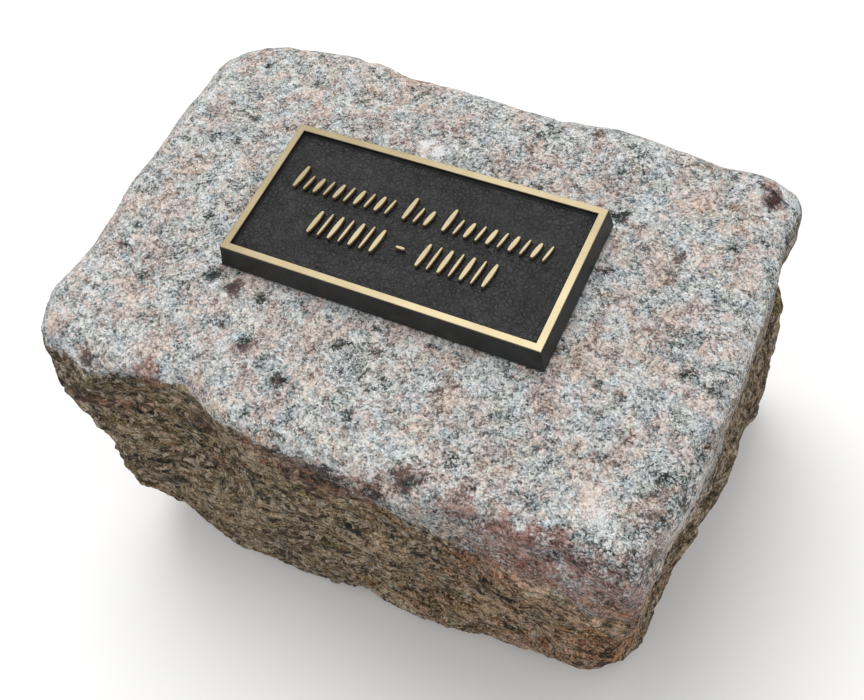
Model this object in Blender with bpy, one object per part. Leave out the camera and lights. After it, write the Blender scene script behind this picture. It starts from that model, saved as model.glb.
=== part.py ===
"""A rough-split granite block that carries a small cast bronze plaque.

Metres, +Z up. The origin is on the ground under the middle of the block. The plaque's rows run
along +X and are read from -Y, so -Y is the front.
"""

import math
from collections import namedtuple

import bmesh
import bpy
from mathutils import Vector, noise

# The stone block
STONE_LENGTH = 0.205
STONE_WIDTH = 0.142
STONE_HEIGHT = 0.127
FRONT_CORNER_RADIUS = 0.011
BACK_CORNER_RADIUS = 0.016
TOP_EDGE_RADIUS = 0.008
FOOT_EDGE_RADIUS = 0.005
SPLIT_DEPTH = 0.0034
TOP_WAVE_DEPTH = 0.0016
SEAT_MARGIN = 0.004
SEAT_FADE = 0.018

# Waves to the metre in the stone's relief
SWELL_WAVES = 17.0
RIDGE_WAVES_ALONG = 24.0
RIDGE_WAVES_UP = 62.0
CRUMBLE_WAVES = 95.0
TOP_WAVES = 28.0
TOP_RIPPLE_WAVES = 90.0

# The bronze plaque
PLAQUE_LENGTH = 0.1016
PLAQUE_WIDTH = 0.0508
PLAQUE_THICKNESS = 0.0085
PLAQUE_DRAFT = 0.0011
PLAQUE_OFFSET_Y = 0.0035
BORDER_WIDTH = 0.0023
RELIEF = 0.0016
FOOT_ROUND = 0.0009
BOND_GAP = 0.0003

# The two rows of raised strokes
TEXT_MARGIN = 0.0068
ROW_CENTRES_Y = (0.0066, -0.0073)
TALL_STROKE = 0.0084
LOW_STROKE = 0.0056
THICK_STROKE = 0.0015
THIN_STROKE = 0.0009
STROKE_LEAN = 0.0011
STROKE_ROOT = 0.0005
STROKE_END_SHARE = 0.45
DASH_LENGTH = 0.0030
GROUP_GAP = 1.7
LONG_ROW = (10, 3, 10)
SHORT_ROW = (7, 7)

# How finely the block is divided along X, Y and Z, and how much closer the cuts lie near its ends
STONE_CUTS = (32, 23, 20)
EDGE_CROWDING = 0.55

# A flat break across a corner or an edge: the way it faces, and how far it lies below the plain
# block's corner
Facet = namedtuple("Facet", ("facing", "depth"))
FACETS = {
    "front_left_shoulder": Facet((-0.30, -1.0, 0.50), 0.0120),
    "front_left_heel": Facet((-1.0, -1.0, -1.0), 0.0250),
    "front_left_corner": Facet((-1.0, -0.6, 0.05), 0.0115),
    "front_right_corner": Facet((1.0, -0.30, -0.07), 0.0125),
    "front_right_side": Facet((1.0, -0.16, -0.08), 0.0150),
    "front_right_edge": Facet((1.0, -1.0, -0.38), 0.0224),
    "front_right_heel": Facet((1.0, -0.9, -0.6), 0.0205),
    "front_heel": Facet((0.05, -1.0, -0.25), 0.0100),
    "right_heel": Facet((1.0, -0.04, -0.30), 0.0120),
    "back_right_side": Facet((0.12, 1.0, 0.15), 0.0080),
    "back_right_corner": Facet((1.0, 0.9, 0.8), 0.0090),
    "back_right_heel": Facet((0.9, 1.0, -0.8), 0.0150),
    "back_left_corner": Facet((-0.8, 1.0, 0.2), 0.0110),
    "back_left_heel": Facet((-0.5, 1.0, -0.7), 0.0130),
    "left_heel": Facet((-1.0, 0.25, -0.20), 0.0110),
}

# A hollow in a side. Its centre and reach are in halves of the block's length, width and height
Hollow = namedtuple("Hollow", ("centre", "reach", "depth"))
HOLLOWS = {
    "front_left_scoop": Hollow((-0.52, -1.0, 0.60), (0.26, 0.9, 1.0), 0.0070),
    "front_middle": Hollow((0.25, -1.0, -0.25), (0.50, 0.6, 0.45), 0.0030),
    "right_waist": Hollow((1.0, 0.72, 0.45), (0.6, 0.36, 0.75), 0.0042),
    "right_front_spall": Hollow((1.0, -0.56, 0.05), (0.5, 0.50, 0.45), 0.0060),
    "back_middle": Hollow((0.10, 1.0, 0.20), (0.60, 0.7, 0.60), 0.0030),
    "left_middle": Hollow((-1.0, 0.10, -0.20), (0.60, 0.65, 0.60), 0.0020),
}


def new_collection(name):
    """A collection in the scene, for the pieces or for the helpers."""
    collection = bpy.data.collections.new(name)
    bpy.context.scene.collection.children.link(collection)
    return collection


def new_material(name, colour, roughness, metallic):
    """A plain Principled BSDF."""
    material = bpy.data.materials.new(name)
    material.use_nodes = True
    shader = material.node_tree.nodes["Principled BSDF"]
    shader.inputs["Base Color"].default_value = (*colour, 1.0)
    shader.inputs["Roughness"].default_value = roughness
    shader.inputs["Metallic"].default_value = metallic
    return material


def new_object(name, mesh, collection, material=None):
    """An object for a finished bmesh."""
    data = bpy.data.meshes.new(name)
    mesh.to_mesh(data)
    mesh.free()
    obj = bpy.data.objects.new(name, data)
    collection.objects.link(obj)
    if material:
        data.materials.append(material)
    return obj


def smooth_step(value):
    """0 below 0, 1 above 1, and an S-curve between."""
    t = min(max(value, 0.0), 1.0)
    return t * t * (3.0 - 2.0 * t)


def crowded(share):
    """A cut's place from -1 to 1, drawn towards the two ends."""
    return (1.0 - EDGE_CROWDING) * share + EDGE_CROWDING * (1.5 * share - 0.5 * share**3)


def divided_cube():
    """A cube from -1 to 1, cut into a grid by planes."""
    mesh = bmesh.new()
    bmesh.ops.create_cube(mesh, size=2.0)
    for axis, count in enumerate(STONE_CUTS):
        normal = Vector((0.0, 0.0, 0.0))
        normal[axis] = 1.0
        for step in range(1, count):
            place = crowded(2.0 * step / count - 1.0)
            geometry = mesh.verts[:] + mesh.edges[:] + mesh.faces[:]
            bmesh.ops.bisect_plane(mesh, geom=geometry, plane_co=normal * place, plane_no=normal)
    return mesh


def rounded(point, half, radius):
    """A point of a 2D box, drawn onto the box's rounded outline, and the outline's direction there."""
    core = Vector([min(max(c, -h + radius), h - radius) for c, h in zip(point, half)])
    direction = (point - core).normalized()
    return core + direction * radius, direction


def within_facets(point):
    """The share of a point's distance from the block's upright axis that the flat breaks leave."""
    half = Vector((STONE_LENGTH, STONE_WIDTH, STONE_HEIGHT)) / 2
    share = 1.0
    for facet in FACETS.values():
        corner = sum(abs(f) * h for f, h in zip(facet.facing, half))
        limit = corner - facet.depth * Vector(facet.facing).length
        along = facet.facing[0] * point.x + facet.facing[1] * point.y
        if along > 0.0:
            share = min(share, (limit - facet.facing[2] * point.z) / along)
    return share


def hollow_depth(point):
    """How deep the hollows go at a point of the plain block."""
    half = (STONE_LENGTH / 2, STONE_WIDTH / 2, STONE_HEIGHT / 2)
    deepest = 0.0
    for hollow in HOLLOWS.values():
        offset = Vector([(p / h - c) / r for p, h, c, r in zip(point, half, hollow.centre, hollow.reach)])
        deepest = max(deepest, hollow.depth * (1.0 - offset.dot(offset)))
    return deepest


def split_relief(point):
    """How far the split sides fall back: broad swells, long level ridges and a coarse crumble."""
    swell = 0.5 - 0.5 * noise.noise(point * SWELL_WAVES + Vector((3.1, 7.7, 1.9)))
    stretched = Vector((point.x, point.y, point.z * RIDGE_WAVES_UP / RIDGE_WAVES_ALONG)) * RIDGE_WAVES_ALONG
    ridges = abs(noise.noise(stretched + Vector((9.4, 2.2, 5.3))))
    crumble = 0.5 - 0.5 * noise.noise(point * CRUMBLE_WAVES)
    return SPLIT_DEPTH * (0.6 * swell + ridges + 0.3 * crumble)


def side_outline(direction, height):
    """The point of the block's side at a height, where a 2D direction from the upright axis meets it."""
    half = Vector((STONE_LENGTH, STONE_WIDTH)) / 2
    corner = FRONT_CORNER_RADIUS if direction.y < 0 else BACK_CORNER_RADIUS
    edge, outward = rounded(Vector((direction.x * half.x, direction.y * half.y)), half, corner)
    point = Vector((edge.x, edge.y, height))
    edge *= within_facets(point)
    ray = edge.normalized()
    return edge - ray * (hollow_depth(point) + split_relief(point)) / outward.dot(ray)


def top_drop(plan):
    """How far the worn top falls below its highest level: nothing under the plaque, waves around it."""
    reach_x = abs(plan.x) - PLAQUE_LENGTH / 2 - PLAQUE_DRAFT
    reach_y = abs(plan.y - PLAQUE_OFFSET_Y) - PLAQUE_WIDTH / 2 - PLAQUE_DRAFT
    away = smooth_step((max(reach_x, reach_y) - SEAT_MARGIN) / SEAT_FADE)
    point = Vector((plan.x, plan.y, 0.0))
    wave = 0.5 - 0.5 * noise.noise(point * TOP_WAVES + Vector((5.0, 1.0, 8.0)))
    ripple = 0.5 - 0.5 * noise.noise(point * TOP_RIPPLE_WAVES + Vector((2.0, 6.0, 4.0)))
    return TOP_WAVE_DEPTH * away * (0.7 * wave + 0.3 * ripple)


def stone_point(cube_point):
    """Where a point of the divided cube lies on the block, measured from the block's middle."""
    half_height = STONE_HEIGHT / 2
    height = cube_point.z * half_height
    reach = max(abs(cube_point.x), abs(cube_point.y))
    if reach == 0.0:
        return Vector((0.0, 0.0, height))
    edge = side_outline(cube_point.xy / reach, height)
    spread = edge.length
    radius = TOP_EDGE_RADIUS if cube_point.z > 0 else FOOT_EDGE_RADIUS
    profile, slope = rounded(Vector((reach * spread, height)), (spread, half_height), radius)
    plan = edge * (profile.x / spread)
    return Vector((plan.x, plan.y, profile.y - top_drop(plan) * max(slope.y, 0.0)))


def granite_stone(collection, material):
    """The block: a divided cube drawn onto the split form, at its nominal size, on the ground."""
    mesh = divided_cube()
    for vertex in mesh.verts:
        vertex.co = stone_point(vertex.co)
    for axis, size in enumerate((STONE_LENGTH, STONE_WIDTH)):
        low = min(v.co[axis] for v in mesh.verts)
        high = max(v.co[axis] for v in mesh.verts)
        for vertex in mesh.verts:
            vertex.co[axis] = (vertex.co[axis] - (low + high) / 2) * size / (high - low)
    obj = new_object("granite_stone", mesh, collection, material)
    obj.location.z = STONE_HEIGHT / 2
    obj.data.shade_smooth()
    obj.data.set_sharp_from_angle(angle=math.radians(35))
    return obj


def plaque_body():
    """The casting without strokes: a plate with drafted sides and a ground sunk inside a border."""
    mesh = bmesh.new()
    bmesh.ops.create_cube(mesh, size=1.0)
    for vertex in mesh.verts:
        spread = PLAQUE_DRAFT if vertex.co.z < 0 else 0.0
        vertex.co.x *= PLAQUE_LENGTH + 2 * spread
        vertex.co.y *= PLAQUE_WIDTH + 2 * spread
        vertex.co.z = (vertex.co.z - 0.5) * PLAQUE_THICKNESS
    mesh.normal_update()
    foot = [e for e in mesh.edges if all(v.co.z < -PLAQUE_THICKNESS / 2 for v in e.verts)]
    bmesh.ops.bevel(mesh, geom=foot, offset=FOOT_ROUND, segments=3, profile=0.5, affect="EDGES")
    top = max(mesh.faces, key=lambda face: face.calc_center_median().z)
    bmesh.ops.inset_region(mesh, faces=[top], thickness=BORDER_WIDTH)
    sunk = bmesh.ops.extrude_face_region(mesh, geom=[top])
    bmesh.ops.delete(mesh, geom=[top], context="FACES_ONLY")
    ground = [item for item in sunk["geom"] if isinstance(item, bmesh.types.BMVert)]
    bmesh.ops.translate(mesh, verts=ground, vec=(0.0, 0.0, -RELIEF))
    bmesh.ops.recalc_face_normals(mesh, faces=mesh.faces[:])
    return mesh


def add_stroke(mesh, x, y, height, width, lean):
    """One raised stroke: a leaf shape that leans, thick in the middle and blunt at both ends."""
    right_side = ((-0.5, STROKE_END_SHARE), (-0.25, 0.9), (0.0, 1.0), (0.25, 0.9), (0.5, STROKE_END_SHARE))
    left_side = [(along, -side) for along, side in reversed(right_side)]
    foot = []
    for along, side in (*right_side, *left_side):
        place = (x + lean * along + side * width / 2, y + along * height, -RELIEF - STROKE_ROOT)
        foot.append(mesh.verts.new(place))
    base = mesh.faces.new(foot)
    raised = bmesh.ops.extrude_face_region(mesh, geom=[base])
    top = [item for item in raised["geom"] if isinstance(item, bmesh.types.BMVert)]
    bmesh.ops.translate(mesh, verts=top, vec=(0.0, 0.0, RELIEF + STROKE_ROOT))


def stroke_pitch():
    """The distance between strokes that fills the long row from margin to margin."""
    row_length = PLAQUE_LENGTH - 2 * (BORDER_WIDTH + TEXT_MARGIN) - THICK_STROKE - STROKE_LEAN
    gaps = len(LONG_ROW) - 1
    return row_length / (sum(LONG_ROW) - len(LONG_ROW) + gaps * GROUP_GAP)


def plaque_strokes():
    """A long row whose groups open with a tall stroke, and a short row of two groups and a dash."""
    mesh = bmesh.new()
    pitch = stroke_pitch()
    long_y, short_y = ROW_CENTRES_Y
    x = -(PLAQUE_LENGTH / 2 - BORDER_WIDTH - TEXT_MARGIN - (THICK_STROKE + STROKE_LEAN) / 2)
    for count in LONG_ROW:
        for index in range(count):
            height = TALL_STROKE if index == 0 else LOW_STROKE
            width = THIN_STROKE if index % 2 else THICK_STROKE
            y = long_y + (height - TALL_STROKE) / 2
            add_stroke(mesh, x + index * pitch, y, height, width, STROKE_LEAN)
        x += (count - 1 + GROUP_GAP) * pitch
    side = DASH_LENGTH / 2 + GROUP_GAP * pitch
    for direction, count in zip((-1, 1), SHORT_ROW):
        for index in range(count):
            width = THIN_STROKE if index % 2 else THICK_STROKE
            x = direction * (side + index * pitch)
            add_stroke(mesh, x, short_y, TALL_STROKE, width, STROKE_LEAN)
    add_stroke(mesh, 0.0, short_y, THIN_STROKE, DASH_LENGTH, 0.0)
    bmesh.ops.recalc_face_normals(mesh, faces=mesh.faces[:])
    return mesh


def bronze_plaque(collection, helpers, material):
    """The casting: its body with the strokes joined on, resting on the block's level seat."""
    place = (0.0, PLAQUE_OFFSET_Y, STONE_HEIGHT + BOND_GAP + PLAQUE_THICKNESS)
    plaque = new_object("bronze_plaque", plaque_body(), collection, material)
    strokes = new_object("plaque_strokes", plaque_strokes(), helpers)
    for obj in (plaque, strokes):
        obj.location = place
    strokes.hide_render = True
    strokes.display_type = "WIRE"
    union = plaque.modifiers.new("raised_strokes", "BOOLEAN")
    union.operation = "UNION"
    union.solver = "EXACT"
    union.object = strokes
    return plaque


def main():
    for obj in list(bpy.data.objects):
        bpy.data.objects.remove(obj)
    marker = new_collection("grave_marker")
    helpers = new_collection("helpers")
    granite = new_material("granite", (0.41, 0.39, 0.37), 0.85, 0.0)
    bronze = new_material("bronze", (0.60, 0.47, 0.27), 0.38, 1.0)
    granite_stone(marker, granite)
    bronze_plaque(marker, helpers, bronze)


main()
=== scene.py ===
"""Looks of the grave marker: weathered split granite and a cast bronze plaque, on a pale studio floor."""

import math

import bmesh
import bpy
import numpy as np
from mathutils import Matrix, Vector, noise


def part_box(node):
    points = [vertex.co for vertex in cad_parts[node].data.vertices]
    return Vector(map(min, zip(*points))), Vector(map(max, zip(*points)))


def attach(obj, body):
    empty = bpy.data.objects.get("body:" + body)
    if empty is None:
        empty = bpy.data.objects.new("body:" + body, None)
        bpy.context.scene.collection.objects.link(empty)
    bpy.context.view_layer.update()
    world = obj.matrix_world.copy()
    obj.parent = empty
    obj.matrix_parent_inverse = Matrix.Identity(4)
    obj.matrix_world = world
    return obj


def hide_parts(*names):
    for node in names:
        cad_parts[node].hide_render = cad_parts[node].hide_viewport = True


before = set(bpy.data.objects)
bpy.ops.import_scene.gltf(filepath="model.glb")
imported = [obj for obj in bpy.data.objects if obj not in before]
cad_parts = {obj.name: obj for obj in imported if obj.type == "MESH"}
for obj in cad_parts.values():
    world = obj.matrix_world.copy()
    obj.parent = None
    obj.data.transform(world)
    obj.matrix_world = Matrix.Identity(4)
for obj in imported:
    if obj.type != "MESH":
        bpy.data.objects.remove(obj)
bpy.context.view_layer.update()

# The plaque, as in the CAD, in metres
STONE_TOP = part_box("granite_stone")[1][2]
PLAQUE_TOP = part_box("bronze_plaque")[1][2]
PLAQUE_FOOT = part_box("bronze_plaque")[0][2]
PLAQUE_LENGTH = 0.1016
PLAQUE_WIDTH = 0.0508
PLAQUE_DRAFT = 0.0011
PLAQUE_OFFSET_Y = 0.0035
BORDER_WIDTH = 0.0023
RELIEF = 0.0016
TEXT_MARGIN = 0.0068
ROW_CENTRES_Y = (0.0066, -0.0073)
TALL_STROKE = 0.0084
LOW_STROKE = 0.0056
THICK_STROKE = 0.0015
THIN_STROKE = 0.0009
STROKE_LEAN = 0.0011
STROKE_END_SHARE = 0.45
DASH_LENGTH = 0.0030
GROUP_GAP = 1.7
LONG_ROW = (10, 3, 10)
SHORT_ROW = (7, 7)

# How finely the two meshes are divided
STONE_VOXEL = 0.00128
RELAX_ROUNDS = 7
RELAX_SHARE = 0.6
UNDERSIDE_REACH = 0.0004
GROUND_STEP = 0.00036
STROKE_STEPS = 12

# Depths of the stone's relief: on the split sides, on the worn top, at the rim
LEDGE_DEPTH = 0.00135
COARSE_DEPTH = 0.00150
CRUMBLE_DEPTH = 0.00085
COMB_DEPTH = 0.00045
SIDE_LIFT = 0.0015
SIDE_UNDULATION = 0.0026
FRONT_UNDULATION = 0.0012
WORN_COARSE_DEPTH = 0.00022
WORN_CRUMBLE_DEPTH = 0.00042
CHIP_DEPTH = 0.0015

# Relief of the plaque's sunk ground, and how near a place counts as on an edge
LEATHER_DEPTH = 0.00030
LEATHER_BEND = 0.0022
BEND_SHIFTS = (3.1, 17.7, 41.3)
TINY = 1e-6

CAMERA_LENS = 46.55
CAMERA_PLACE = (0.11872, -0.16016, 0.38956)
CAMERA_TURNS = (("Z", 36.59), ("X", 32.249), ("Z", -13.326))

WORLD_STRENGTH = 0.80
WORLD_COLOUR = (1.0, 1.0, 1.0, 1.0)
KEY_PLACE = (-0.32, 0.42, 1.48)
KEY_TARGET = (0.0, 0.0, 0.06)
KEY_SIZE = 0.95
KEY_POWER = 12.0
KEY_COLOUR = (1.0, 0.994, 0.980)
FLOOR_HALF_SIZE = 3.0
FLOOR_COLOUR = (0.93, 0.93, 0.93, 1.0)
FLOOR_ROUGHNESS = 0.9

# Thin cracks in the top, in plan: start, end, width
CRACKS = (
    ((0.0052, -0.0388), (0.0046, -0.0432), 0.00028),
    ((0.0950, -0.0040), (0.1010, -0.0028), 0.00038),
    ((0.0885, 0.0580), (0.0955, 0.0560), 0.00050),
    ((-0.0770, 0.0020), (-0.0712, 0.0062), 0.00026),
)
CRACK_WAVER = 0.0018
CRACK_NOISE = 420.0
CRACK_CORE = 0.4


def smooth_step(value):
    t = min(max(value, 0.0), 1.0)
    return t * t * (3.0 - 2.0 * t)


def link(obj):
    bpy.context.scene.collection.objects.link(obj)
    return obj


# ---- camera, light and floor

def add_camera():
    data = bpy.data.cameras.new("camera")
    data.lens = CAMERA_LENS
    data.clip_start = 0.01
    camera = link(bpy.data.objects.new("camera", data))
    turn = Matrix.Identity(3)
    for axis, degrees in CAMERA_TURNS:
        turn = turn @ Matrix.Rotation(math.radians(degrees), 3, axis)
    camera.matrix_world = Matrix.Translation(CAMERA_PLACE) @ turn.to_4x4()
    bpy.context.scene.camera = camera


def add_key_light():
    data = bpy.data.lights.new("key", "AREA")
    data.shape = "DISK"
    data.size = KEY_SIZE
    data.energy = KEY_POWER
    data.color = KEY_COLOUR
    lamp = link(bpy.data.objects.new("key", data))
    direction = Vector(KEY_TARGET) - Vector(KEY_PLACE)
    turn = direction.to_track_quat("-Z", "Y").to_matrix().to_4x4()
    lamp.matrix_world = Matrix.Translation(KEY_PLACE) @ turn


def add_studio():
    scene = bpy.context.scene
    scene.view_settings.view_transform = "Standard"
    world = bpy.data.worlds.new("studio")
    world.use_nodes = True
    background = world.node_tree.nodes["Background"]
    background.inputs["Color"].default_value = WORLD_COLOUR
    background.inputs["Strength"].default_value = WORLD_STRENGTH
    scene.world = world
    add_key_light()

    floor = bmesh.new()
    bmesh.ops.create_grid(floor, x_segments=8, y_segments=8, size=FLOOR_HALF_SIZE)
    data = bpy.data.meshes.new("floor")
    floor.to_mesh(data)
    floor.free()
    obj = link(bpy.data.objects.new("floor", data))
    material = bpy.data.materials.new("floor_paper")
    material.use_nodes = True
    shader = material.node_tree.nodes["Principled BSDF"]
    shader.inputs["Base Color"].default_value = FLOOR_COLOUR
    shader.inputs["Roughness"].default_value = FLOOR_ROUGHNESS
    data.materials.append(material)


# ---- node helpers

class Tree:
    """A material's node tree, with short calls to add nodes and wire them."""

    def __init__(self, name):
        self.material = bpy.data.materials.new(name)
        self.material.use_nodes = True
        self.nodes = self.material.node_tree.nodes
        self.links = self.material.node_tree.links
        self.shader = self.nodes["Principled BSDF"]
        self.place = self.add("ShaderNodeTexCoord").outputs["Object"]

    def add(self, kind, inputs=None, **settings):
        node = self.nodes.new(kind)
        for key, value in settings.items():
            setattr(node, key, value)
        for key, value in (inputs or {}).items():
            self.set(node.inputs[key], value)
        return node

    def set(self, socket, value):
        if isinstance(value, bpy.types.NodeSocket):
            self.links.new(value, socket)
        elif isinstance(value, tuple) and len(value) == 3 and socket.type == "RGBA":
            socket.default_value = (*value, 1.0)
        else:
            socket.default_value = value

    def math(self, operation, a, b=0.0, c=0.0, clamp=False):
        node = self.add("ShaderNodeMath", {0: a, 1: b, 2: c}, operation=operation, use_clamp=clamp)
        return node.outputs[0]

    def vector_math(self, operation, inputs, output="Vector"):
        return self.add("ShaderNodeVectorMath", inputs, operation=operation).outputs[output]

    def stretch(self, place, scale):
        return self.vector_math("MULTIPLY", {0: place, 1: scale})

    def offset(self, place, amount):
        return self.vector_math("ADD", {0: place, 1: amount})

    def split_place(self):
        """The outputs X, Y and Z of the place on the object."""
        return self.add("ShaderNodeSeparateXYZ", {"Vector": self.place}).outputs

    def split_colour(self, colour):
        """The outputs Red, Green and Blue of a colour."""
        return self.add("ShaderNodeSeparateColor", {"Color": colour}).outputs

    def noise(self, scale, detail=2.0, rough=0.5, place=None, output="Fac"):
        inputs = {"Vector": place or self.place, "Scale": scale, "Detail": detail, "Roughness": rough}
        return self.add("ShaderNodeTexNoise", inputs).outputs[output]

    def cells(self, scale, place=None, output="Color", feature="F1"):
        inputs = {"Vector": place or self.place, "Scale": scale}
        return self.add("ShaderNodeTexVoronoi", inputs, feature=feature).outputs[output]

    def range(self, value, low, high, to_low=0.0, to_high=1.0, smooth=False):
        inputs = {"Value": value, "From Min": low, "From Max": high, "To Min": to_low, "To Max": to_high}
        kind = "SMOOTHSTEP" if smooth else "LINEAR"
        return self.add("ShaderNodeMapRange", inputs, interpolation_type=kind).outputs["Result"]

    def ramp(self, value, stops):
        node = self.add("ShaderNodeValToRGB", {"Fac": value})
        elements = node.color_ramp.elements
        while len(elements) < len(stops):
            elements.new(0.5)
        for element, (place, colour) in zip(elements, stops):
            element.position = place
            element.color = (*colour, 1.0)
        return node.outputs["Color"]

    def mix(self, share, a, b, blend="MIX"):
        node = self.add("ShaderNodeMix", data_type="RGBA", blend_type=blend)
        self.set(node.inputs["Factor"], share)
        self.set(node.inputs["A"], a)
        self.set(node.inputs["B"], b)
        return node.outputs["Result"]

    def attribute(self, name):
        return self.add("ShaderNodeAttribute", attribute_name=name).outputs["Fac"]

    def crooked_plan(self):
        """The place in plan, wavering a little, for thin cracks."""
        waver = self.noise(CRACK_NOISE, 2.0, output="Color")
        waver = self.stretch(waver, (CRACK_WAVER, CRACK_WAVER, 0.0))
        return self.stretch(self.offset(self.place, waver), (1.0, 1.0, 0.0))

    def crack(self, plan, start, end, width):
        """1 on a thin line in plan, 0 away from it."""
        away = self.offset(plan, (-start[0] - CRACK_WAVER / 2, -start[1] - CRACK_WAVER / 2, 0.0))
        run = (end[0] - start[0], end[1] - start[1], 0.0)
        squared = run[0] ** 2 + run[1] ** 2
        dot = self.vector_math("DOT_PRODUCT", {0: away, 1: run}, "Value")
        share = self.math("DIVIDE", dot, squared, clamp=True)
        foot = self.vector_math("SCALE", {0: run, "Scale": share})
        reach = self.vector_math("DISTANCE", {0: away, 1: foot}, "Value")
        return self.range(reach, CRACK_CORE * width, width, 1.0, 0.0)

    def bump(self, height, distance, strength=1.0, normal=None):
        inputs = {"Height": height, "Distance": distance, "Strength": strength}
        if normal:
            inputs["Normal"] = normal
        return self.add("ShaderNodeBump", inputs).outputs["Normal"]


# ---- materials

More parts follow.
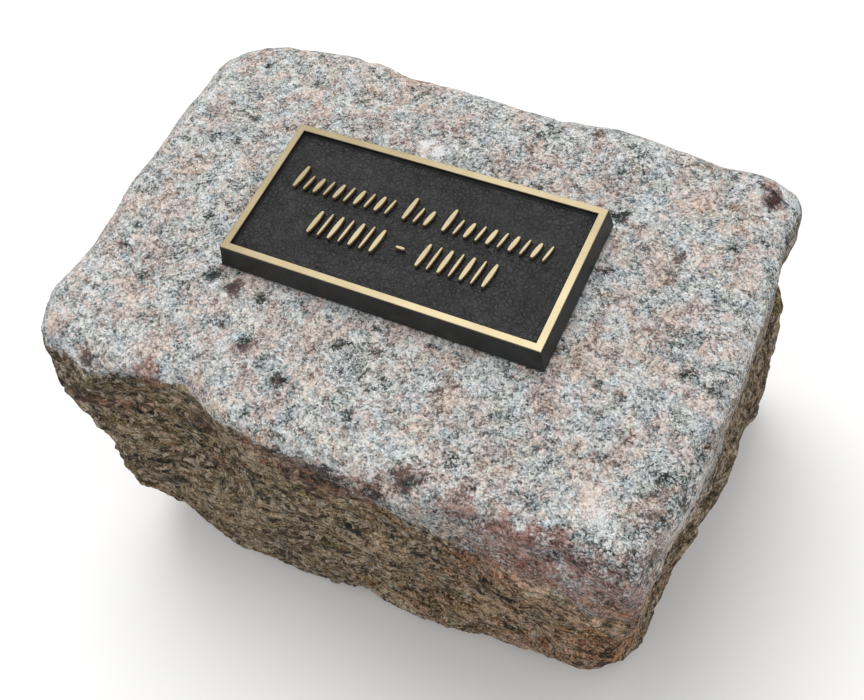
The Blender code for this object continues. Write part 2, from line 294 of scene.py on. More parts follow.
def granite():
    """Salt-and-pepper granite with pink feldspar, brown and streaked where the split sides have weathered."""
    t = Tree("granite_weathered")
    warp = t.vector_math("SUBTRACT", {0: t.noise(1000.0, 2.0, output="Color"), 1: (0.5, 0.5, 0.5)})
    place = t.offset(t.place, t.stretch(warp, (0.0011, 0.0011, 0.0011)))
    grain = t.split_colour(t.cells(1650.0, place))
    crystal = t.split_colour(t.cells(560.0, place))
    dust = t.noise(2400.0, 2.0, 0.7)
    cloud = t.noise(250.0, 5.0, 0.72)
    pale_cloud = t.noise(45.0, 2.0)

    # compact nests of dark mica, each with a ragged edge
    nest_place = t.offset(t.place, t.stretch(warp, (0.0040, 0.0040, 0.0040)))
    nest = t.add("ShaderNodeTexVoronoi", {"Vector": nest_place, "Scale": 150.0}).outputs
    nest_size = t.split_colour(nest["Color"])["Red"]
    nest_reach = t.math("SUBTRACT", t.range(nest_size, 0.4, 1.0, 0.0, 0.30), nest["Distance"])
    dark_cloud = t.noise(165.0, 5.0, 0.72, t.offset(t.place, (0.1, 0.2, 0.6)))
    mica = t.math("MULTIPLY_ADD", t.range(nest_reach, -0.08, 0.12), 0.60, t.attribute("mica"))
    mica = t.math("ADD", mica, t.range(dark_cloud, 0.56, 0.68, 0.0, 0.42))

    # which mineral each grain is: low is dark mica, then blue-grey quartz, then pale feldspar
    mineral = t.math("MULTIPLY_ADD", grain["Red"], 0.42, t.math("MULTIPLY", crystal["Red"], 0.18))
    mineral = t.math("ADD", mineral, t.range(dust, 0.25, 0.75, -0.18, 0.24))
    mineral = t.math("ADD", mineral, t.range(cloud, 0.28, 0.72, -0.02, 0.34))
    mineral = t.math("ADD", mineral, t.range(pale_cloud, 0.35, 0.65, -0.03, 0.04))
    mineral = t.math("MULTIPLY_ADD", mica, -0.46, mineral)
    mineral = t.math("MULTIPLY_ADD", t.attribute("bruise"), 0.22, mineral)
    base = t.ramp(mineral, (
        (0.10, (0.018, 0.022, 0.018)),
        (0.23, (0.084, 0.098, 0.092)),
        (0.35, (0.262, 0.286, 0.292)),
        (0.47, (0.458, 0.476, 0.478)),
        (0.58, (0.620, 0.630, 0.626)),
        (0.70, (0.780, 0.788, 0.784)),
        (0.84, (0.915, 0.920, 0.920)),
    ))
    pink_cloud = t.noise(105.0, 4.0, 0.62, t.offset(t.place, (0.3, 0.1, 0.2)))
    pink_cloud = t.math("MULTIPLY_ADD", t.attribute("rosy"), 0.045, pink_cloud)
    pink = t.range(t.math("MULTIPLY_ADD", crystal["Green"], 0.16, pink_cloud), 0.56, 0.68)
    feldspar = t.mix(t.range(mineral, 0.20, 0.74), (0.200, 0.122, 0.104), (0.865, 0.690, 0.605))
    base = t.mix(t.math("MULTIPLY", pink, 0.64), base, feldspar)
    cream = t.range(t.noise(170.0, 3.0, 0.6, t.offset(t.place, (0.8, 0.6, 0.4))), 0.50, 0.62)
    base = t.mix(t.math("MULTIPLY", cream, 0.70), base, (1.0, 0.965, 0.870), "MULTIPLY")
    blue = t.range(t.noise(150.0, 3.0, 0.6, t.offset(t.place, (0.5, 0.2, 0.9))), 0.50, 0.62)
    base = t.mix(t.math("MULTIPLY", blue, 0.85), base, (0.890, 0.950, 1.0), "MULTIPLY")
    bruise = t.math("ADD", t.attribute("bruise"), t.range(dust, 0.3, 0.7, -0.40, 0.30))
    bruise = t.range(bruise, 0.40, 0.62)
    base = t.mix(t.math("MULTIPLY", bruise, 0.8), base, (0.90, 0.90, 0.91))

    # brown weathering of the split sides, combed along the block
    sway = t.range(t.noise(24.0, 1.0), 0.2, 0.8, -0.5, 0.5)
    lift = t.add("ShaderNodeCombineXYZ", {"Z": t.math("MULTIPLY", sway, 0.030)}).outputs["Vector"]
    along = t.offset(t.offset(t.place, lift), t.stretch(warp, (0.0012, 0.0012, 0.0024)))
    comb = t.noise(1.0, 5.0, 0.82, t.stretch(along, (120.0, 120.0, 620.0)))
    blotch = t.noise(110.0, 5.0, 0.75)
    earth = t.math("MULTIPLY_ADD", comb, 0.76, t.math("MULTIPLY", blotch, 0.24))
    earth = t.math("ADD", earth, t.range(grain["Green"], 0.0, 1.0, -0.045, 0.045))
    earth = t.math("ADD", earth, t.range(t.noise(48.0, 3.0, 0.6), 0.3, 0.7, -0.028, 0.028))
    earth = t.math("ADD", earth, t.range(mineral, 0.10, 0.90, -0.080, 0.100))
    brown = t.ramp(earth, (
        (0.40, (0.007, 0.005, 0.004)),
        (0.45, (0.046, 0.034, 0.018)),
        (0.50, (0.165, 0.119, 0.062)),
        (0.55, (0.370, 0.277, 0.155)),
        (0.61, (0.680, 0.565, 0.390)),
        (0.69, (0.920, 0.860, 0.740)),
    ))
    rust = t.range(t.noise(130.0, 4.0, 0.65, t.offset(t.place, (0.7, 0.4, 0.1))), 0.54, 0.64)
    brown = t.mix(t.math("MULTIPLY", rust, 0.60), brown, (0.90, 0.48, 0.26), "MULTIPLY")
    rosy_cloud = t.range(t.noise(80.0, 4.0, 0.7), 0.35, 0.60, 0.35, 1.0)
    rosy = t.math("MULTIPLY", t.attribute("rosy"), rosy_cloud)
    brown = t.mix(rosy, brown, (1.22, 0.94, 0.92), "MULTIPLY")
    # painted shade: the front darker towards its left end and the right side darker; the hidden sides' random
    # darker patches come in through the same mask
    brown = t.mix(t.attribute("painted_shade_and_patches"), brown, (0.76, 0.74, 0.69), "MULTIPLY")
    olive = t.range(t.noise(60.0, 3.0, 0.6, t.offset(t.place, (0.2, 0.9, 0.5))), 0.50, 0.62)
    brown = t.mix(t.math("MULTIPLY", olive, 0.70), brown, (0.78, 0.80, 0.56), "MULTIPLY")

    # the change from fresh to weathered stone runs grain by grain
    speck = t.math("MULTIPLY_ADD", grain["Blue"], 0.5, t.math("MULTIPLY", cloud, 0.5))
    weather = t.attribute("weather")
    worn = t.range(t.math("ADD", weather, t.range(speck, 0.2, 0.8, -0.36, 0.36)), 0.36, 0.64)
    tinted = t.mix(1.0, base, (0.90, 0.74, 0.56), "MULTIPLY")
    side = t.mix(t.range(crystal["Blue"], 0.15, 0.35), tinted, brown)
    colour = t.mix(worn, base, side)

    # maroon iron stain along the rims, and near-black painted shade in the hollows and round the plaque's
    # foot
    streak = t.range(comb, 0.36, 0.64, -0.40, 0.34)
    streak = t.math("ADD", streak, t.range(speck, 0.2, 0.8, -0.24, 0.20))
    maroon = t.range(t.math("ADD", t.attribute("maroon"), streak), 0.20, 0.70)
    colour = t.mix(t.math("MULTIPLY", maroon, 0.85), colour, (0.66, 0.40, 0.35), "MULTIPLY")
    colour = t.mix(t.math("MULTIPLY", maroon, 0.20), colour, (0.120, 0.046, 0.038))
    iron = t.range(t.math("ADD", t.attribute("rust"), streak), 0.20, 0.75)
    colour = t.mix(t.math("MULTIPLY", iron, 0.80), colour, (0.95, 0.68, 0.47), "MULTIPLY")
    # painted shade: near black in deep hollows and round the plaque's foot
    painted_recess_shade = t.math("ADD", t.attribute("painted_recess_shade"), t.range(speck, 0.2, 0.8, -0.45, 0.35))
    painted_recess_shade = t.range(painted_recess_shade, 0.25, 0.75)
    colour = t.mix(t.math("MULTIPLY", painted_recess_shade, 0.85), colour, (0.028, 0.027, 0.021))

    # thin dark cracks in the top
    plan = t.crooked_plan()
    cracks = 0.0
    for start, end, width in CRACKS:
        cracks = t.math("MAXIMUM", t.crack(plan, start, end, width), cracks)
    near_top = t.range(t.split_place()["Z"], STONE_TOP - 0.008, STONE_TOP - 0.003)
    cracks = t.math("MULTIPLY", cracks, near_top)
    colour = t.mix(t.math("MULTIPLY", cracks, 0.80), colour, (0.050, 0.040, 0.032))

    glint = t.range(grain["Blue"], 0.75, 1.0, 0.80, 0.40)
    dull = t.math("MULTIPLY", weather, 0.86)
    t.set(t.shader.inputs["Roughness"], t.math("MAXIMUM", glint, dull))
    t.set(t.shader.inputs["Base Color"], colour)
    t.shader.inputs["Specular IOR Level"].default_value = 0.35
    pits = t.cells(1100.0, place, "Distance")
    rough = t.math("MULTIPLY_ADD", t.noise(1300.0, 4.0, 0.7), 1.0, t.math("MULTIPLY", pits, -0.5))
    rough = t.math("MULTIPLY_ADD", comb, t.math("MULTIPLY_ADD", weather, 3.4, 0.4), rough)
    rough = t.math("MULTIPLY_ADD", cracks, -0.8, rough)
    t.set(t.shader.inputs["Normal"], t.bump(rough, 0.00090, 0.95))
    return t.material


def bronze():
    """Dark-painted casting whose border and strokes are brushed back to bare gold bronze."""
    t = Tree("bronze_cast")
    where = t.split_place()
    ragged = t.math("MULTIPLY_ADD", t.noise(900.0, 3.0, 0.6), 0.00020, where["Z"])
    bare = t.range(ragged, PLAQUE_TOP - 0.00016, PLAQUE_TOP + 0.00004, smooth=True)
    scraped = t.range(ragged, PLAQUE_TOP - 0.00125, PLAQUE_TOP - 0.00025)
    brushed = t.noise(1.0, 3.0, 0.6, t.stretch(t.place, (160.0, 5200.0, 160.0)))
    cloud = t.noise(55.0, 3.0, 0.55)
    gold = t.ramp(t.math("MULTIPLY_ADD", brushed, 0.55, t.math("MULTIPLY", cloud, 0.45)), (
        (0.32, (0.280, 0.228, 0.136)),
        (0.50, (0.358, 0.302, 0.194)),
        (0.68, (0.435, 0.378, 0.260)),
    ))
    # painted reflection: the gold darker towards the plaque's left end, brighter to the right
    painted_reflection_dim_left = t.range(where["X"], -0.05, 0.05, 1.0, 0.0)
    gold = t.mix(painted_reflection_dim_left, gold, (0.78, 0.77, 0.74), "MULTIPLY")
    paint = t.ramp(t.noise(160.0, 4.0, 0.6), (
        (0.30, (0.0060, 0.0063, 0.0061)),
        (0.55, (0.0124, 0.0130, 0.0127)),
        (0.75, (0.0226, 0.0233, 0.0228)),
    ))
    # painted sheen: the dark paint lighter towards the right end
    paint = t.mix(painted_reflection_dim_left, t.mix(1.0, paint, (1.22, 1.24, 1.28), "MULTIPLY"), paint)
    wall = t.mix(t.math("MULTIPLY", scraped, t.attribute("raised")), paint, (0.230, 0.140, 0.062))
    t.set(t.shader.inputs["Base Color"], t.mix(bare, wall, gold))
    t.set(t.shader.inputs["Metallic"], bare)
    t.shader.inputs["Specular IOR Level"].default_value = 0.36
    dull = t.range(cloud, 0.3, 0.7, 0.42, 0.54)
    polish = t.range(brushed, 0.3, 0.7, 0.40, 0.50)
    gain = t.math("MULTIPLY", bare, t.math("SUBTRACT", polish, dull))
    t.set(t.shader.inputs["Roughness"], t.math("ADD", dull, gain))
    wander = t.stretch(t.noise(300.0, 2.0, output="Color"), (0.003, 0.003, 0.003))
    wrinkle = t.cells(620.0, t.offset(t.place, wander), "Distance", "DISTANCE_TO_EDGE")
    grain = t.math("MULTIPLY_ADD", t.range(wrinkle, 0.0, 0.22), 1.0, t.noise(2100.0, 3.0, 0.7))
    grain = t.math("MULTIPLY", grain, t.range(t.attribute("ground"), 0.0, 1.0, 0.15, 1.0))
    painted = t.bump(t.math("MULTIPLY", grain, t.math("SUBTRACT", 1.0, bare)), 0.00020, 1.0)
    hairlines = t.math("MULTIPLY", brushed, bare)
    t.set(t.shader.inputs["Normal"], t.bump(hairlines, 0.000010, 1.0, painted))
    return t.material


# ---- the stone

def voxel_copy(source, size):
    """A closed, even mesh over a CAD node's form."""
    work = link(bpy.data.objects.new("work", source.data.copy()))
    remesh = work.modifiers.new("remesh", "REMESH")
    remesh.mode = "VOXEL"
    remesh.voxel_size = size
    mesh = bpy.data.meshes.new_from_object(work.evaluated_get(bpy.context.evaluated_depsgraph_get()))
    bpy.data.objects.remove(work)
    return mesh


def relax(mesh, rounds, share):
    """Moves each point towards its neighbours' middle, except that the underside stays level."""
    count = len(mesh.vertices)
    points = np.empty(count * 3)
    mesh.vertices.foreach_get("co", points)
    points = points.reshape(-1, 3)
    pairs = np.empty(len(mesh.edges) * 2, dtype=np.int64)
    mesh.edges.foreach_get("vertices", pairs)
    pairs = pairs.reshape(-1, 2)
    valence = np.bincount(pairs.ravel(), minlength=count)[:, None]
    low = points[:, 2] < UNDERSIDE_REACH
    for _ in range(rounds):
        total = np.zeros_like(points)
        np.add.at(total, pairs[:, 0], points[pairs[:, 1]])
        np.add.at(total, pairs[:, 1], points[pairs[:, 0]])
        moved = points + (total / valence - points) * share
        moved[low, 2] = points[low, 2]
        points = moved
    mesh.vertices.foreach_set("co", points.ravel())
    mesh.update()


# Worn pits and snapped edges: centre, radius, depth
PITS = (
    ((0.0925, 0.0545, 0.1255), 0.0042, 0.0016),
    ((0.0885, 0.0560, 0.1265), 0.0030, 0.0012),
    ((0.0985, -0.0270, 0.1230), 0.0060, 0.0022),
    ((0.0995, -0.0100, 0.1240), 0.0045, 0.0016),
    ((0.0900, -0.0450, 0.1245), 0.0070, 0.0014),
    ((-0.0450, -0.0650, 0.1245), 0.0060, 0.0015),
    ((-0.0930, 0.0100, 0.1262), 0.0050, 0.0012),
    ((0.0200, 0.0680, 0.1262), 0.0060, 0.0013),
    ((-0.0500, 0.0690, 0.1262), 0.0050, 0.0012),
    ((0.0740, -0.0700, 0.1180), 0.0070, 0.0016),
)

# Places where the block swells out of the CAD's flat breaks, or falls short of them: centre, radius, rise
SWELLS = (
    ((-0.0925, -0.0625, 0.1130), 0.034, 0.0027),
    ((-0.0983, 0.0150, 0.1225), 0.034, 0.0016),
    ((-0.0530, 0.0680, 0.1225), 0.026, 0.0026),
    ((0.0500, 0.0655, 0.1225), 0.026, 0.0022),
    ((0.0850, 0.0620, 0.1225), 0.022, 0.0022),
    ((0.0992, 0.0599, 0.0561), 0.028, 0.0026),
    ((0.1008, 0.0420, 0.0290), 0.028, 0.0022),
    ((0.0986, 0.0544, 0.1120), 0.016, 0.0014),
    ((0.0904, -0.0455, 0.0060), 0.018, 0.0020),
    ((0.0230, -0.0678, 0.0150), 0.026, 0.0020),
    ((-0.0340, -0.0685, 0.0080), 0.022, 0.0014),
    ((0.0936, -0.0330, 0.0280), 0.022, -0.0022),
    ((0.0955, -0.0096, 0.0200), 0.018, -0.0015),
    ((-0.0690, -0.0690, 0.0220), 0.020, -0.0017),
    ((0.0531, -0.0680, 0.0264), 0.014, -0.0016),
    ((0.0851, -0.0616, 0.0253), 0.012, -0.0016),
)


def nearness(p, centre, radius):
    """1 at the centre, 0 at the radius, below 0 outside."""
    return 1.0 - (p - Vector(centre)).length / radius


def stone_depth(p, n):
    """How far a point of the stone goes in, in metres, and how hollow that leaves it, from 0 to 1."""
    side = smooth_step((0.86 - abs(n.z)) / 0.5)
    bend = 6.0 * noise.noise(p * 24.0) + 0.9 * noise.noise(p * 110.0)
    level = Vector((p.x * 46.0, p.y * 46.0, p.z * 210.0 + bend))
    ledge = 1.0 - min(1.0, 2.4 * abs(noise.noise(level)))
    coarse = 0.5 - 0.5 * noise.noise(p * 125.0 + Vector((1.7, 2.9, 4.3)))
    crumble = 0.5 - 0.5 * noise.fractal(p * 320.0, 0.8, 2.1, 3)
    comb = 0.5 - 0.5 * noise.noise(Vector((p.x * 120.0, p.y * 120.0, p.z * 380.0 + bend)))
    rough = LEDGE_DEPTH * ledge + COARSE_DEPTH * coarse + CRUMBLE_DEPTH * crumble
    rough += COMB_DEPTH * comb - SIDE_LIFT
    worn = WORN_COARSE_DEPTH * coarse + WORN_CRUMBLE_DEPTH * crumble
    front = smooth_step((-0.040 - p.y) / 0.020)
    side *= max(front, smooth_step((STONE_TOP - 0.004 - p.z) / 0.030))
    undulation = SIDE_UNDULATION - (SIDE_UNDULATION - FRONT_UNDULATION) * front
    rough += undulation * noise.noise(p * 34.0 + Vector((5.3, 1.9, 7.7)))
    depth = side * rough + (1.0 - side) * worn
    rim = smooth_step((0.97 - n.z) / 0.12) * smooth_step((n.z - 0.10) / 0.30)
    chip = max(0.0, noise.noise(p * 75.0 + Vector((8.1, 3.3, 6.2))) - 0.05)
    depth += rim * (0.35 + 0.65 * front) * min(CHIP_DEPTH, 3.0 * CHIP_DEPTH * chip)
    for centre, radius, deep in PITS:
        depth += deep * smooth_step(nearness(p, centre, radius) * 1.6) * (0.6 + 0.8 * crumble)
    hollow = smooth_step((depth - 0.0012) / 0.0018)
    for centre, radius, rise in SWELLS:
        depth -= rise * smooth_step(nearness(p, centre, radius))
    return depth, hollow


def plaque_clearance(p):
    """Distance in plan from a point outside the plaque's foot to the foot, below 0 inside it."""
    reach_x = abs(p.x) - PLAQUE_LENGTH / 2 - PLAQUE_DRAFT
    reach_y = abs(p.y - PLAQUE_OFFSET_Y) - PLAQUE_WIDTH / 2 - PLAQUE_DRAFT
    return max(reach_x, reach_y)


# Vertex attributes that the granite reads, each from 0 to 1
MASKS = ("weather", "painted_shade_and_patches", "rosy", "maroon", "rust", "painted_recess_shade", "mica", "bruise")


def weathering(p, normal, hollow):
    """How brown, rosy and stained a point of the stone is, and where it gets painted shade: darker towards
    the front's left end and over the right side, near black in deep hollows and round the plaque's foot; the
    hidden sides also get random darker patches.
    """
    wander = 0.006 * noise.noise(p * 60.0) + 0.004 * noise.noise(p * 160.0)
    right = 0.3 + (smooth_step((p.x + 0.04) / 0.13) - 0.3) * smooth_step((-0.006 - p.y) / 0.044)
    start = STONE_TOP - 0.004 - 0.001 * right
    weather = smooth_step((start - p.z + wander) / (0.007 + 0.030 * right))
    weather = max(weather, 0.9 * smooth_step((0.50 - normal.z) / 0.35) * (1.0 - right))
    band = smooth_step((p.z - STONE_TOP + 0.034) / 0.012) * smooth_step((STONE_TOP - 0.002 - p.z) / 0.005)
    patch = smooth_step((noise.noise(p * 38.0 + Vector((2.2, 4.4, 1.1))) + 0.22) / 0.40)
    ahead = smooth_step((-0.035 - p.y) / 0.02)
    behind = 1.0 - ahead
    warm = smooth_step((noise.noise(p * 26.0 + Vector((3.7, 0.8, 5.9))) - 0.02) / 0.30)
    # random darker patches on the hidden sides, and painted shade over the right side
    dull = smooth_step((noise.noise(p * 20.0 + Vector((9.4, 6.1, 2.6))) + 0.20) / 0.40)
    dull = max(dull, smooth_step((p.x - 0.080) / 0.014))
    # painted shadow: a thin band on the top round the plaque's foot
    foot = smooth_step(1.0 - plaque_clearance(p) / 0.0022) if normal.z > 0.8 else 0.0
    return {
        "weather": weather,
        "maroon": 0.62 * band * patch * ahead,
        "rosy": ahead * smooth_step((p.x + 0.01) / 0.07) + 0.6 * behind * warm,
        # painted shade on the front towards its left end, plus the hidden sides' patches and right side from
        # dull
        "painted_shade_and_patches": ahead * smooth_step((0.010 - p.x) / 0.06) + behind * dull,
        "rust": 0.40 * behind * warm * (1.0 - dull),
        # painted shade: near black in deep hollows of the relief and round the plaque's foot
        "painted_recess_shade": min(0.85, 0.55 * hollow + 0.45 * foot * (0.5 - noise.noise(p * 140.0))),
    }


def add_stone():
    """The granite block: the CAD's form with its fine split relief, and masks for its weathering and its
    painted shade.
    """
    mesh = voxel_copy(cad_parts["granite_stone"], STONE_VOXEL)
    mesh.name = "granite_block"
    relax(mesh, RELAX_ROUNDS, RELAX_SHARE)
    fields = {name: np.zeros(len(mesh.vertices)) for name in MASKS}
    normals = [v.normal.copy() for v in mesh.vertices]
    for vertex, normal in zip(mesh.vertices, normals):
        p = vertex.co.copy()
        index = vertex.index
        if normal.z < -0.9 and p.z < 0.002:
            fields["weather"][index] = 1.0
            continue
        depth, hollow = stone_depth(p, normal)
        if normal.z > 0.8:
            depth *= smooth_step((plaque_clearance(p) + 0.0005) / 0.003)
        vertex.co = p - normal * depth
        vertex.co.z = max(vertex.co.z, 0.0)
        for name, value in weathering(p, normal, hollow).items():
            fields[name][index] = value
    add_marks(mesh, fields)
    mesh.update()
    for name, values in fields.items():
        layer = mesh.attributes.new(name, "FLOAT", "POINT")
        layer.data.foreach_set("value", np.clip(values, 0.0, 1.0))
    mesh.shade_smooth()
    mesh.materials.clear()
    mesh.materials.append(granite())
    stone = link(bpy.data.objects.new("granite_block", mesh))
    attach(stone, "root")
    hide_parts("granite_stone")


# Single marks on the stone: mask, centre, radius, amount
MARKS = (
    ("bruise", (-0.0142, 0.0408, 0.1265), 0.0036, 0.9),
    ("bruise", (-0.0088, 0.0386, 0.1265), 0.0032, 0.8),
    ("bruise", (-0.0122, 0.0358, 0.1265), 0.0024, 0.7),
    ("bruise", (0.0790, -0.0540, 0.1257), 0.0080, 0.50),
    ("bruise", (0.0853, -0.0597, 0.1257), 0.0040, 0.45),
    ("bruise", (-0.0640, -0.0300, 0.1262), 0.0045, 0.35),
    ("mica", (-0.0530, -0.0262, 0.1266), 0.0036, 1.0),
    ("mica", (-0.0442, -0.0285, 0.1266), 0.0034, 0.8),
    ("mica", (-0.0350, -0.0290, 0.1266), 0.0030, 0.7),
    ("mica", (-0.0060, -0.0350, 0.1266), 0.0036, 0.6),
    ("mica", (0.0515, 0.0335, 0.1266), 0.0040, 0.9),
    ("mica", (-0.0326, -0.0441, 0.1258), 0.0030, 0.8),
    ("mica", (-0.0173, -0.0518, 0.1261), 0.0030, 0.8),
    ("mica", (-0.0748, -0.0635, 0.1216), 0.0036, 0.8),
    ("mica", (0.0298, -0.0648, 0.1250), 0.0055, 0.8),
    ("mica", (0.0060, -0.0690, 0.1150), 0.0080, 0.45),
    ("mica", (0.0210, -0.0700, 0.1180), 0.0060, 0.45),
    ("mica", (0.0920, -0.0530, 0.1250), 0.0110, 0.40),
    ("mica", (0.0950, -0.0440, 0.1240), 0.0090, 0.45),
    ("mica", (0.0900, -0.0640, 0.1240), 0.0100, 0.42),
    ("mica", (0.0955, -0.0590, 0.1180), 0.0090, 0.40),
    ("mica", (0.0951, -0.0109, 0.1255), 0.0036, 0.7),
    ("mica", (0.0877, -0.0083, 0.1260), 0.0030, 0.6),
    ("mica", (0.0905, 0.0562, 0.1250), 0.0030, 0.8),
    ("mica", (0.0700, -0.0680, 0.1190), 0.0080, 0.35),
    ("mica", (0.0851, -0.0684, 0.1217), 0.0130, 0.42),
    ("mica", (0.0760, -0.0650, 0.1245), 0.0090, 0.35),
    ("maroon", (0.0740, -0.0650, 0.1240), 0.0070, 0.55),
    ("maroon", (0.0900, -0.0660, 0.1150), 0.0100, 0.60),
    ("maroon", (0.0900, 0.0560, 0.1250), 0.0060, 0.7),
    ("maroon", (-0.0560, -0.0620, 0.1220), 0.0070, 0.7),
    ("maroon", (0.0621, -0.0684, 0.1209), 0.0090, 0.9),
    ("maroon", (0.0440, -0.0665, 0.1240), 0.0080, 0.7),
    ("maroon", (0.0789, -0.0690, 0.1170), 0.0080, 0.8),
    ("maroon", (0.0820, -0.0700, 0.1040), 0.0090, 0.6),
    ("rust", (0.0850, -0.0688, 0.0680), 0.0150, 0.7),
    ("rust", (0.0912, -0.0608, 0.0531), 0.0180, 0.8),
    ("rust", (-0.0850, -0.0600, 0.0900), 0.0120, 0.5),
    ("rust", (0.0500, -0.0680, 0.0900), 0.0120, 0.5),
)


def add_marks(mesh, fields):
    """Bruised, mica-rich, stained and rusted places, each with a ragged edge."""
    for vertex in mesh.vertices:
        p = vertex.co
        for name, centre, radius, amount in MARKS:
            reach = (p - Vector(centre)).length
            if reach < radius * 1.6:
                broken = 0.55 * radius * noise.noise(p * 260.0) + 0.4 * radius * noise.noise(p * 700.0)
                share = amount * smooth_step((radius - reach + broken) / (0.6 * radius))
                fields[name][vertex.index] = max(fields[name][vertex.index], share)


# ---- the plaque

def cut_lines():
    """How the plaque's top runs from its edge over the border to the ground: (distance, height)."""
    edge = ((0.0, -0.00022), (0.00005, -0.00008), (0.00016, 0.0), (0.00030, 0.0))
    wall = BORDER_WIDTH
    inner = (
        (wall - 0.00024, 0.0),
        (wall - 0.00012, 0.0),
        (wall - 0.00002, -0.00010),
        (wall + 0.00008, -RELIEF + 0.00025),
        (wall + 0.00030, -RELIEF),
    )
    return edge + inner


def line_places(half):
    """All cuts along one direction, from -half to half."""
    offsets = [distance for distance, _ in cut_lines()]
    start = half - offsets[-1]
    count = max(2, round(2 * start / GROUND_STEP))
    middle = [-start + 2 * start * step / count for step in range(1, count)]
    return [-(half - d) for d in offsets] + middle + [half - d for d in reversed(offsets)]


def leather(p):
    """The wrinkled grain cast into the sunk ground: 0 on the swells, down to -1 in the creases."""
    skew = Vector(((0.82 * p.x - 0.57 * p.y) * 0.66, (0.57 * p.x + 0.82 * p.y) * 1.30, 0.0))
    bend = Vector([noise.noise(skew * 260.0 + Vector((0.0, 0.0, shift))) for shift in BEND_SHIFTS])
    distances, _ = noise.voronoi((skew + bend * LEATHER_BEND) * 460.0)
    crease = math.exp(-(distances[1] - distances[0]) / 0.14)
    fade = smooth_step(0.5 + 1.2 * noise.noise(p * 230.0))
    return -crease * (0.25 + 0.75 * fade) + 0.20 * noise.noise(p * 800.0)


def plaque_height(x, y):
    """Height of the plaque's top at a place, below the border's flat."""
    inset = min(PLAQUE_LENGTH / 2 - abs(x), PLAQUE_WIDTH / 2 - abs(y))
    profile = cut_lines()
    if inset >= profile[-1][0] - TINY:
        fade = smooth_step((inset - profile[-1][0]) / 0.0008)
        return -RELIEF + LEATHER_DEPTH * fade * leather(Vector((x, y, 0.0)))
    for (near, low), (far, high) in zip(profile, profile[1:]):
        if inset <= far + TINY:
            return low + (high - low) * max(0.0, inset - near) / (far - near)
    return -RELIEF


# The plaque's side, from its top edge to its rounded foot: share of the height, share of the draft
SIDE_RINGS = ((0.35, 0.28), (0.60, 0.55), (0.80, 0.80), (0.90, 0.96), (0.96, 0.98), (1.0, 0.60))


def plaque_shell():
    """The casting's closed skin without its strokes."""
    xs = line_places(PLAQUE_LENGTH / 2)
    ys = line_places(PLAQUE_WIDTH / 2)
    mesh = bmesh.new()
    rows = [[mesh.verts.new((x, y, plaque_height(x, y))) for x in xs] for y in ys]
    for low, high in zip(rows, rows[1:]):
        for index in range(len(xs) - 1):
            mesh.faces.new((low[index], low[index + 1], high[index + 1], high[index]))
    thickness = PLAQUE_TOP - PLAQUE_FOOT
    half_x, half_y = PLAQUE_LENGTH / 2, PLAQUE_WIDTH / 2
    rim = rows[0][:-1] + [row[-1] for row in rows[:-1]]
    rim += rows[-1][:0:-1] + [row[0] for row in rows[:0:-1]]
    for down, out in SIDE_RINGS:
        spread = PLAQUE_DRAFT * out
        ring = []
        for vertex in rim:
            x, y, _ = vertex.co
            x = math.copysign(half_x + spread, x) if abs(x) > half_x - TINY else x
            y = math.copysign(half_y + spread, y) if abs(y) > half_y - TINY else y
            ring.append(mesh.verts.new((x, y, -thickness * down)))
        for index in range(len(rim)):
            after = (index + 1) % len(rim)
            mesh.faces.new((rim[after], rim[index], ring[index], ring[after]))
        rim = ring
    mesh.faces.new(rim[::-1])
    return mesh


# A stroke's wall, from under the ground to its rounded top: height, growth
STROKE_LEVELS = ((-RELIEF - 0.0004, 0.00005), (-0.00011, 0.0), (-0.00003, -0.00003), (0.0, -0.00009))


def add_stroke(mesh, x, y, height, width, lean):
    """One raised stroke: a leaning leaf with drafted walls and a rounded top edge."""
    right_side = []
    for step in range(STROKE_STEPS + 1):
        along = step / STROKE_STEPS - 0.5
        side = STROKE_END_SHARE + (1.0 - STROKE_END_SHARE) * math.cos(along * math.pi) ** 0.7
        right_side.append((along, side))
    outline = right_side + [(along, -side) for along, side in reversed(right_side)]
    rings = []
    for z, grow in STROKE_LEVELS:
        ring = []
        for along, side in outline:
            reach = width / 2 + grow
            tip = y + along * (height + 2 * grow)
            ring.append(mesh.verts.new((x + lean * along + side * reach, tip, z)))
        rings.append(ring)
    for low, high in zip(rings, rings[1:]):
        for index in range(len(low)):
            after = (index + 1) % len(low)
            mesh.faces.new((low[index], low[after], high[after], high[index]))
    mesh.faces.new(rings[-1])
    mesh.faces.new(list(reversed(rings[0])))


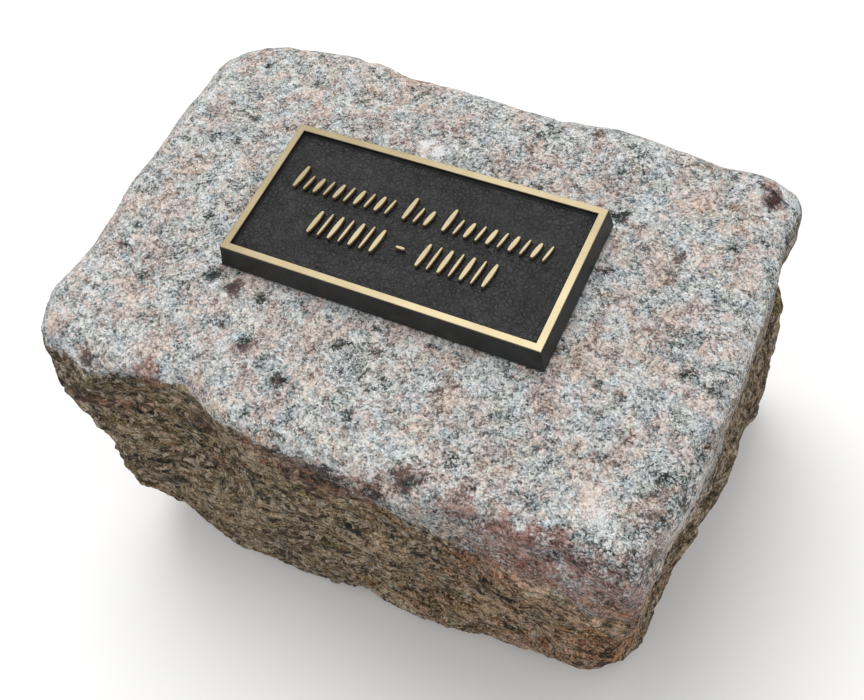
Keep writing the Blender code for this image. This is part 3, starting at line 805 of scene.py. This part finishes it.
def plaque_strokes():
    """Both rows of raised strokes, laid out as in the CAD."""
    mesh = bmesh.new()
    row_length = PLAQUE_LENGTH - 2 * (BORDER_WIDTH + TEXT_MARGIN) - THICK_STROKE - STROKE_LEAN
    pitch = row_length / (sum(LONG_ROW) - len(LONG_ROW) + (len(LONG_ROW) - 1) * GROUP_GAP)
    long_y, short_y = ROW_CENTRES_Y
    x = -row_length / 2
    for count in LONG_ROW:
        for index in range(count):
            height = TALL_STROKE if index == 0 else LOW_STROKE
            width = THIN_STROKE if index % 2 else THICK_STROKE
            y = long_y + (height - TALL_STROKE) / 2
            add_stroke(mesh, x + index * pitch, y, height, width, STROKE_LEAN)
        x += (count - 1 + GROUP_GAP) * pitch
    side = DASH_LENGTH / 2 + GROUP_GAP * pitch
    for direction, count in zip((-1, 1), SHORT_ROW):
        for index in range(count):
            width = THIN_STROKE if index % 2 else THICK_STROKE
            x = direction * (side + index * pitch)
            add_stroke(mesh, x, short_y, TALL_STROKE, width, STROKE_LEAN)
    add_stroke(mesh, 0.0, short_y, THIN_STROKE, DASH_LENGTH, 0.0)
    bmesh.ops.recalc_face_normals(mesh, faces=mesh.faces[:])
    return mesh


def to_object(name, mesh, place):
    for vertex in mesh.verts:
        vertex.co += place
    data = bpy.data.meshes.new(name)
    mesh.to_mesh(data)
    mesh.free()
    return link(bpy.data.objects.new(name, data))


def add_plaque():
    """The bronze casting: its skin and its strokes joined into one closed mesh."""
    place = Vector((0.0, PLAQUE_OFFSET_Y, PLAQUE_TOP))
    shell = to_object("shell", plaque_shell(), place)
    strokes = to_object("strokes", plaque_strokes(), place)
    union = shell.modifiers.new("strokes", "BOOLEAN")
    union.operation = "UNION"
    union.solver = "EXACT"
    union.object = strokes
    mesh = bpy.data.meshes.new_from_object(shell.evaluated_get(bpy.context.evaluated_depsgraph_get()))
    mesh.name = "plaque_casting"
    for obj in (shell, strokes):
        bpy.data.objects.remove(obj)
    reach_x = PLAQUE_LENGTH / 2 - BORDER_WIDTH - 0.0005
    reach_y = PLAQUE_WIDTH / 2 - BORDER_WIDTH - 0.0005
    ground = []
    raised = []
    for vertex in mesh.vertices:
        p = vertex.co - place
        inside = abs(p.x) < reach_x and abs(p.y) < reach_y and p.z > -2.0 * RELIEF
        ground.append(float(inside))
        raised.append(float(inside and p.z > -RELIEF + 0.0003))
    for name, values in (("ground", ground), ("raised", raised)):
        layer = mesh.attributes.new(name, "FLOAT", "POINT")
        layer.data.foreach_set("value", values)
    mesh.shade_smooth()
    mesh.set_sharp_from_angle(angle=math.radians(24))
    mesh.materials.clear()
    mesh.materials.append(bronze())
    plaque = link(bpy.data.objects.new("plaque_casting", mesh))
    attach(plaque, "root")
    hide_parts("bronze_plaque")


add_camera()
add_studio()
add_stone()
add_plaque()
